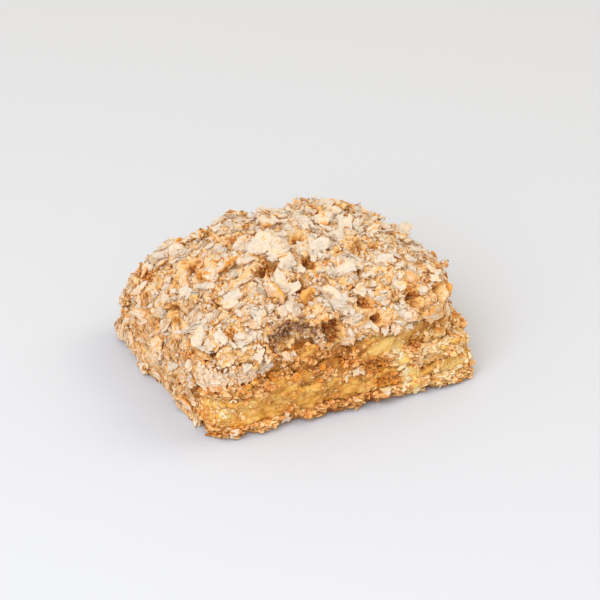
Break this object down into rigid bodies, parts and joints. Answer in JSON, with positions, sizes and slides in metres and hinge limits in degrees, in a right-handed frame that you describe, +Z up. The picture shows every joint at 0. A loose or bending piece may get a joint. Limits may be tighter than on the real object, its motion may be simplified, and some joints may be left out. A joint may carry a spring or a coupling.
{
  "type": "napoleon cake",
  "caption": "Square portion of layered puff pastry cake with custard fillings and a domed coat of pastry crumbs and flakes, cut at the front and the right.",
  "frame": {"origin": "on the surface that the cake rests on, under the middle of its box", "axes": "+X along the cut front from left to right, +Y from the cut front to the back, +Z up"},
  "size_m": [0.1146, 0.1024, 0.0565],
  "materials": {
    "pastry": "matt, flaky baked puff pastry, golden brown",
    "custard": "soft set yellow custard cream with a slight sheen",
    "crumbs": "matt, loose pale and toasted puff pastry flakes and crumbs"
  },
  "bodies": {
    "root": {"base_pastry": "pastry", "lower_custard": "custard", "middle_pastry": "pastry", "upper_custard": "custard", "crumb_coat": "crumbs"}
  },
  "joints": []
}
